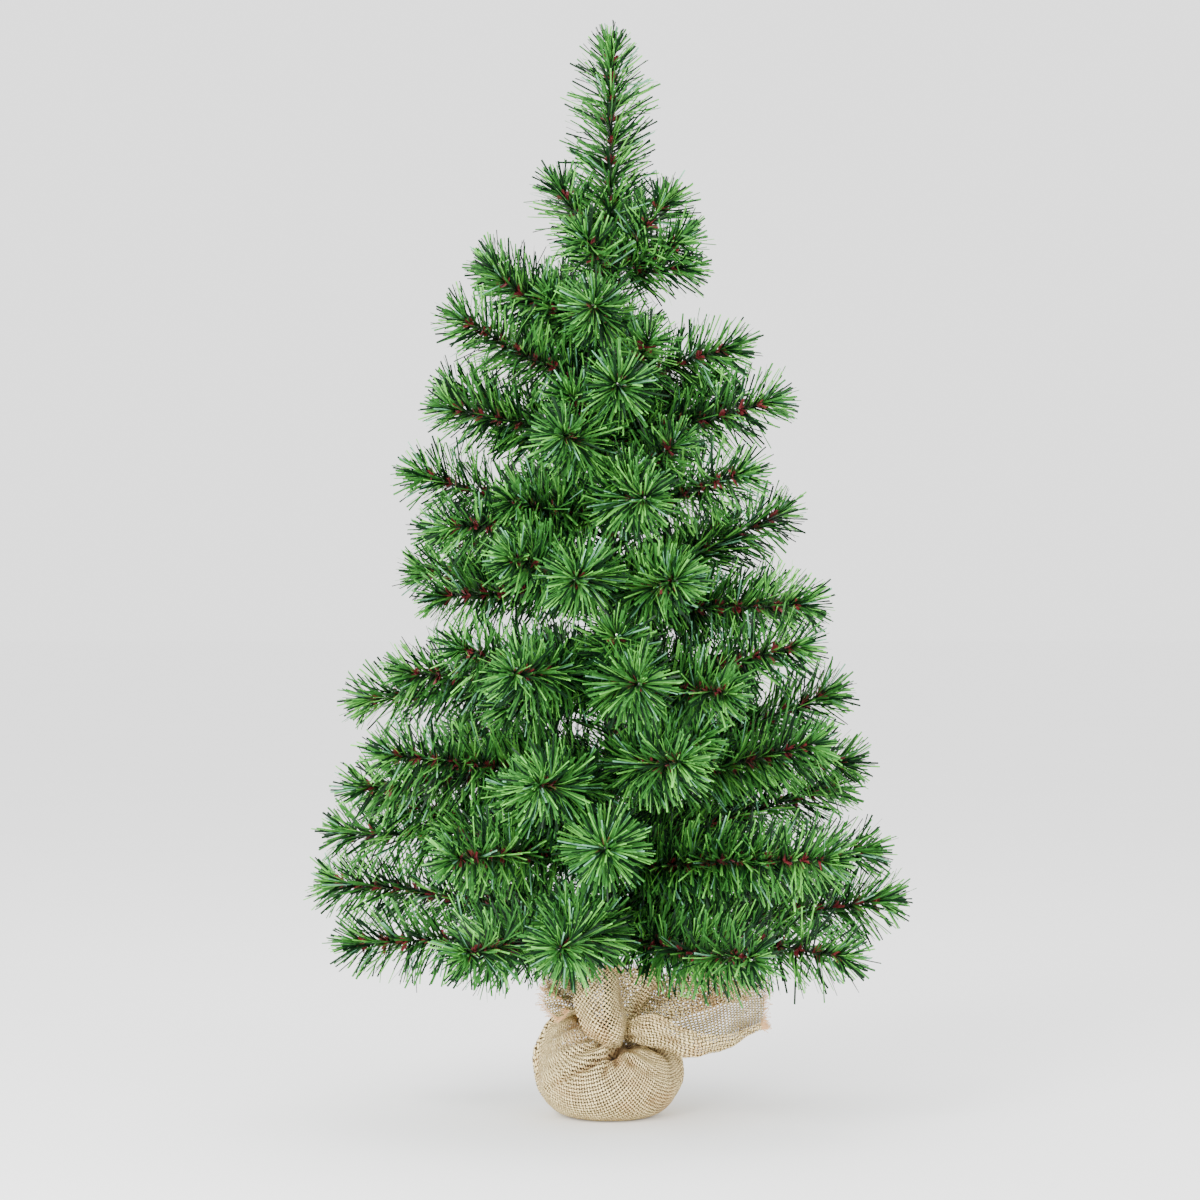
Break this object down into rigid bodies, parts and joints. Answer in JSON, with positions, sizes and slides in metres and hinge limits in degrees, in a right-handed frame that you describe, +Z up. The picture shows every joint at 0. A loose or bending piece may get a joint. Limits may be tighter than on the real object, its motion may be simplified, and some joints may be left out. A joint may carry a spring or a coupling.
{
  "type": "artificial tabletop tree",
  "caption": "Small conical artificial tree: bottle-brush branches bent out from a twisted-wire trunk, standing in a weight wrapped in tied burlap.",
  "frame": {"origin": "on the surface it stands on, at the middle of the base's flat underside, on the trunk's axis", "axes": "+Z up along the trunk, -Y towards the front, where the burlap's tie is, +X to the viewer's right"},
  "size_m": [0.4986, 0.4235, 0.914],
  "materials": {
    "cement": "rough cast",
    "burlap": "open plain weave of jute",
    "twine": "twisted jute",
    "wire": "green-lacquered twisted wire",
    "needles": "cut PVC film strips, two greens"
  },
  "bodies": {
    "base": {"cast_weight": "cement", "burlap_wrap": "burlap", "neck_tie": "twine", "trunk": "wire", "leader_top": "needles"},
    "branch_01": {"branch_01": "needles"},
    "branch_02": {"branch_02": "needles"},
    "branch_03": {"branch_03": "needles"},
    "branch_04": {"branch_04": "needles"},
    "branch_05": {"branch_05": "needles"},
    "branch_06": {"branch_06": "needles"},
    "branch_07": {"branch_07": "needles"},
    "branch_08": {"branch_08": "needles"},
    "branch_09": {"branch_09": "needles"},
    "branch_10": {"branch_10": "needles"},
    "branch_11": {"branch_11": "needles"},
    "branch_12": {"branch_12": "needles"},
    "branch_13": {"branch_13": "needles"},
    "branch_14": {"branch_14": "needles"},
    "branch_15": {"branch_15": "needles"},
    "branch_16": {"branch_16": "needles"},
    "branch_17": {"branch_17": "needles"},
    "branch_18": {"branch_18": "needles"},
    "branch_19": {"branch_19": "needles"},
    "branch_20": {"branch_20": "needles"},
    "branch_21": {"branch_21": "needles"},
    "branch_22": {"branch_22": "needles"},
    "branch_23": {"branch_23": "needles"},
    "branch_24": {"branch_24": "needles"},
    "branch_25": {"branch_25": "needles"},
    "branch_26": {"branch_26": "needles"},
    "branch_27": {"branch_27": "needles"},
    "branch_28": {"branch_28": "needles"},
    "branch_29": {"branch_29": "needles"},
    "branch_30": {"branch_30": "needles"},
    "branch_31": {"branch_31": "needles"},
    "branch_32": {"branch_32": "needles"},
    "branch_33": {"branch_33": "needles"},
    "branch_34": {"branch_34": "needles"},
    "branch_35": {"branch_35": "needles"},
    "branch_36": {"branch_36": "needles"},
    "branch_37": {"branch_37": "needles"},
    "branch_38": {"branch_38": "needles"},
    "branch_39": {"branch_39": "needles"},
    "branch_40": {"branch_40": "needles"},
    "branch_41": {"branch_41": "needles"},
    "branch_42": {"branch_42": "needles"},
    "branch_43": {"branch_43": "needles"},
    "branch_44": {"branch_44": "needles"},
    "branch_45": {"branch_45": "needles"},
    "branch_46": {"branch_46": "needles"},
    "branch_47": {"branch_47": "needles"},
    "branch_48": {"branch_48": "needles"},
    "branch_49": {"branch_49": "needles"},
    "branch_50": {"branch_50": "needles"},
    "branch_51": {"branch_51": "needles"},
    "branch_52": {"branch_52": "needles"},
    "branch_53": {"branch_53": "needles"},
    "branch_54": {"branch_54": "needles"}
  },
  "joints": [
    {"name": "branch_01_bend", "type": "hinge", "parent": "base", "child": "branch_01", "pos_m": [0.00877, -0.00077, 0.15045], "axis": [-0.0872, -0.9962, 0], "range_deg": [-5, 45]},
    {"name": "branch_02_bend", "type": "hinge", "parent": "base", "child": "branch_02", "pos_m": [0.0053, -0.00703, 0.15045], "axis": [-0.7986, -0.6018, 0], "range_deg": [-5, 45]},
    {"name": "branch_03_bend", "type": "hinge", "parent": "base", "child": "branch_03", "pos_m": [-0.00867, -0.00153, 0.15045], "axis": [-0.1736, 0.9848, 0], "range_deg": [-5, 45]},
    {"name": "branch_04_bend", "type": "hinge", "parent": "base", "child": "branch_04", "pos_m": [-0.00466, -0.00747, 0.15045], "axis": [-0.848, 0.5299, 0], "range_deg": [-5, 45]},
    {"name": "branch_05_bend", "type": "hinge", "parent": "base", "child": "branch_05", "pos_m": [-0.00183, -0.00859, 0.1559], "axis": [-0.9781, 0.2079, 0], "range_deg": [-5, 45]},
    {"name": "branch_06_bend", "type": "hinge", "parent": "base", "child": "branch_06", "pos_m": [0.003, 0.00825, 0.1559], "axis": [0.9397, -0.342, 0], "range_deg": [-5, 45]},
    {"name": "branch_07_bend", "type": "hinge", "parent": "base", "child": "branch_07", "pos_m": [-0.00859, 0.00183, 0.1559], "axis": [0.2079, 0.9781, 0], "range_deg": [-5, 45]},
    {"name": "branch_08_bend", "type": "hinge", "parent": "base", "child": "branch_08", "pos_m": [-0.00502, 0.00717, 0.16135], "axis": [0.8192, 0.5736, 0], "range_deg": [-5, 45]},
    {"name": "branch_09_bend", "type": "hinge", "parent": "base", "child": "branch_09", "pos_m": [0.00743, 0.00464, 0.16135], "axis": [0.5299, -0.848, 0], "range_deg": [-5, 45]},
    {"name": "branch_10_bend", "type": "hinge", "parent": "base", "child": "branch_10", "pos_m": [0.00711, -0.00479, 0.20495], "axis": [-0.5592, -0.829, 0], "range_deg": [-5, 45]},
    {"name": "branch_11_bend", "type": "hinge", "parent": "base", "child": "branch_11", "pos_m": [-0.00015, -0.0085, 0.2213], "axis": [-0.9998, 0.0175, 0], "range_deg": [-5, 45]},
    {"name": "branch_12_bend", "type": "hinge", "parent": "base", "child": "branch_12", "pos_m": [0.00799, 0.00291, 0.2213], "axis": [0.342, -0.9397, 0], "range_deg": [-5, 45]},
    {"name": "branch_13_bend", "type": "hinge", "parent": "base", "child": "branch_13", "pos_m": [-0.00148, 0.00837, 0.2213], "axis": [0.9848, 0.1736, 0], "range_deg": [-5, 45]},
    {"name": "branch_14_bend", "type": "hinge", "parent": "base", "child": "branch_14", "pos_m": [-0.0058, -0.00622, 0.2213], "axis": [-0.7314, 0.682, 0], "range_deg": [-5, 45]},
    {"name": "branch_15_bend", "type": "hinge", "parent": "base", "child": "branch_15", "pos_m": [0.00474, 0.00703, 0.22675], "axis": [0.829, -0.5592, 0], "range_deg": [-5, 45]},
    {"name": "branch_16_bend", "type": "hinge", "parent": "base", "child": "branch_16", "pos_m": [-0.00845, 0, 0.2322], "axis": [0, 1, 0], "range_deg": [-5, 45]},
    {"name": "branch_17_bend", "type": "hinge", "parent": "base", "child": "branch_17", "pos_m": [0.00788, -0.00241, 0.28125], "axis": [-0.2924, -0.9563, 0], "range_deg": [-5, 45]},
    {"name": "branch_18_bend", "type": "hinge", "parent": "base", "child": "branch_18", "pos_m": [-0.00735, -0.00374, 0.28125], "axis": [-0.454, 0.891, 0], "range_deg": [-5, 45]},
    {"name": "branch_19_bend", "type": "hinge", "parent": "base", "child": "branch_19", "pos_m": [-0.00268, -0.0078, 0.28125], "axis": [-0.9455, 0.3256, 0], "range_deg": [-5, 45]},
    {"name": "branch_20_bend", "type": "hinge", "parent": "base", "child": "branch_20", "pos_m": [0.00818, 0.00086, 0.2867], "axis": [0.1045, -0.9945, 0], "range_deg": [-5, 45]},
    {"name": "branch_21_bend", "type": "hinge", "parent": "base", "child": "branch_21", "pos_m": [0.00267, -0.00775, 0.29215], "axis": [-0.9455, -0.3256, 0], "range_deg": [-5, 45]},
    {"name": "branch_22_bend", "type": "hinge", "parent": "base", "child": "branch_22", "pos_m": [-0.0058, 0.0058, 0.29215], "axis": [0.7071, 0.7071, 0], "range_deg": [-5, 45]},
    {"name": "branch_23_bend", "type": "hinge", "parent": "base", "child": "branch_23", "pos_m": [0.00588, 0.00568, 0.2976], "axis": [0.6947, -0.7193, 0], "range_deg": [-5, 45]},
    {"name": "branch_24_bend", "type": "hinge", "parent": "base", "child": "branch_24", "pos_m": [0.00511, -0.00609, 0.3521], "axis": [-0.766, -0.6428, 0], "range_deg": [-5, 45]},
    {"name": "branch_25_bend", "type": "hinge", "parent": "base", "child": "branch_25", "pos_m": [-0.00769, -0.00192, 0.35755], "axis": [-0.2419, 0.9703, 0], "range_deg": [-5, 45]},
    {"name": "branch_26_bend", "type": "hinge", "parent": "base", "child": "branch_26", "pos_m": [-0.00297, 0.00734, 0.35755], "axis": [0.9272, 0.3746, 0], "range_deg": [-5, 45]},
    {"name": "branch_27_bend", "type": "hinge", "parent": "base", "child": "branch_27", "pos_m": [0.0011, -0.00784, 0.35755], "axis": [-0.9903, -0.1392, 0], "range_deg": [-5, 45]},
    {"name": "branch_28_bend", "type": "hinge", "parent": "base", "child": "branch_28", "pos_m": [0.00691, -0.00383, 0.363], "axis": [-0.4848, -0.8746, 0], "range_deg": [-5, 45]},
    {"name": "branch_29_bend", "type": "hinge", "parent": "base", "child": "branch_29", "pos_m": [-0.00383, -0.00691, 0.363], "axis": [-0.8746, 0.4848, 0], "range_deg": [-5, 45]},
    {"name": "branch_30_bend", "type": "hinge", "parent": "base", "child": "branch_30", "pos_m": [0.0011, 0.0078, 0.36845], "axis": [0.9903, -0.1392, 0], "range_deg": [-5, 45]},
    {"name": "branch_31_bend", "type": "hinge", "parent": "base", "child": "branch_31", "pos_m": [0.0073, 0.00209, 0.43385], "axis": [0.2756, -0.9613, 0], "range_deg": [-5, 45]},
    {"name": "branch_32_bend", "type": "hinge", "parent": "base", "child": "branch_32", "pos_m": [0.00759, -0.00093, 0.42295], "axis": [-0.1219, -0.9925, 0], "range_deg": [-5, 45]},
    {"name": "branch_33_bend", "type": "hinge", "parent": "base", "child": "branch_33", "pos_m": [0.00379, 0.00656, 0.4393], "axis": [0.866, -0.5, 0], "range_deg": [-5, 45]},
    {"name": "branch_34_bend", "type": "hinge", "parent": "base", "child": "branch_34", "pos_m": [0.00308, -0.00692, 0.4393], "axis": [-0.9135, -0.4067, 0], "range_deg": [-5, 45]},
    {"name": "branch_35_bend", "type": "hinge", "parent": "base", "child": "branch_35", "pos_m": [-0.00748, 0.00119, 0.4393], "axis": [0.1564, 0.9877, 0], "range_deg": [-5, 45]},
    {"name": "branch_36_bend", "type": "hinge", "parent": "base", "child": "branch_36", "pos_m": [-0.00158, -0.00741, 0.4393], "axis": [-0.9781, 0.2079, 0], "range_deg": [-5, 45]},
    {"name": "branch_37_bend", "type": "hinge", "parent": "base", "child": "branch_37", "pos_m": [-0.00484, -0.00577, 0.4502], "axis": [-0.766, 0.6428, 0], "range_deg": [-5, 45]},
    {"name": "branch_38_bend", "type": "hinge", "parent": "base", "child": "branch_38", "pos_m": [-0.0069, -0.00251, 0.4938], "axis": [-0.342, 0.9397, 0], "range_deg": [-5, 45]},
    {"name": "branch_39_bend", "type": "hinge", "parent": "base", "child": "branch_39", "pos_m": [0.00569, -0.0046, 0.49925], "axis": [-0.6293, -0.7771, 0], "range_deg": [-5, 45]},
    {"name": "branch_40_bend", "type": "hinge", "parent": "base", "child": "branch_40", "pos_m": [0.00152, -0.00716, 0.49925], "axis": [-0.9781, -0.2079, 0], "range_deg": [-5, 45]},
    {"name": "branch_41_bend", "type": "hinge", "parent": "base", "child": "branch_41", "pos_m": [-0.00577, -0.00451, 0.49925], "axis": [-0.6157, 0.788, 0], "range_deg": [-5, 45]},
    {"name": "branch_42_bend", "type": "hinge", "parent": "base", "child": "branch_42", "pos_m": [-0.00365, 0.00632, 0.5047], "axis": [0.866, 0.5, 0], "range_deg": [-5, 45]},
    {"name": "branch_43_bend", "type": "hinge", "parent": "base", "child": "branch_43", "pos_m": [-0.00242, -0.00666, 0.55375], "axis": [-0.9397, 0.342, 0], "range_deg": [-5, 45]},
    {"name": "branch_44_bend", "type": "hinge", "parent": "base", "child": "branch_44", "pos_m": [-0.00705, 0.00049, 0.5592], "axis": [0.0698, 0.9976, 0], "range_deg": [-5, 45]},
    {"name": "branch_45_bend", "type": "hinge", "parent": "base", "child": "branch_45", "pos_m": [0.00241, 0.00662, 0.56465], "axis": [0.9397, -0.342, 0], "range_deg": [-5, 45]},
    {"name": "branch_46_bend", "type": "hinge", "parent": "base", "child": "branch_46", "pos_m": [0.00702, 0, 0.5701], "axis": [0, -1, 0], "range_deg": [-5, 45]},
    {"name": "branch_47_bend", "type": "hinge", "parent": "base", "child": "branch_47", "pos_m": [0.00036, -0.00691, 0.5919], "axis": [-0.9986, -0.0523, 0], "range_deg": [-5, 45]},
    {"name": "branch_48_bend", "type": "hinge", "parent": "base", "child": "branch_48", "pos_m": [-0.00618, -0.00301, 0.6028], "axis": [-0.4384, 0.8988, 0], "range_deg": [-5, 45]},
    {"name": "branch_49_bend", "type": "hinge", "parent": "base", "child": "branch_49", "pos_m": [0.00656, -0.002, 0.60825], "axis": [-0.2924, -0.9563, 0], "range_deg": [-5, 45]},
    {"name": "branch_50_bend", "type": "hinge", "parent": "base", "child": "branch_50", "pos_m": [-0.00438, 0.00522, 0.61915], "axis": [0.766, 0.6428, 0], "range_deg": [-5, 45]},
    {"name": "branch_51_bend", "type": "hinge", "parent": "base", "child": "branch_51", "pos_m": [-0.00662, -0.00081, 0.65185], "axis": [-0.1219, 0.9925, 0], "range_deg": [-5, 45]},
    {"name": "branch_52_bend", "type": "hinge", "parent": "base", "child": "branch_52", "pos_m": [-0.00104, -0.00659, 0.65185], "axis": [-0.9877, 0.1564, 0], "range_deg": [-5, 45]},
    {"name": "branch_53_bend", "type": "hinge", "parent": "base", "child": "branch_53", "pos_m": [-0.00254, -0.00599, 0.69], "axis": [-0.9205, 0.3907, 0], "range_deg": [-5, 45]},
    {"name": "branch_54_bend", "type": "hinge", "parent": "base", "child": "branch_54", "pos_m": [0.00609, -0.00222, 0.69545], "axis": [-0.342, -0.9397, 0], "range_deg": [-5, 45]}
  ]
}
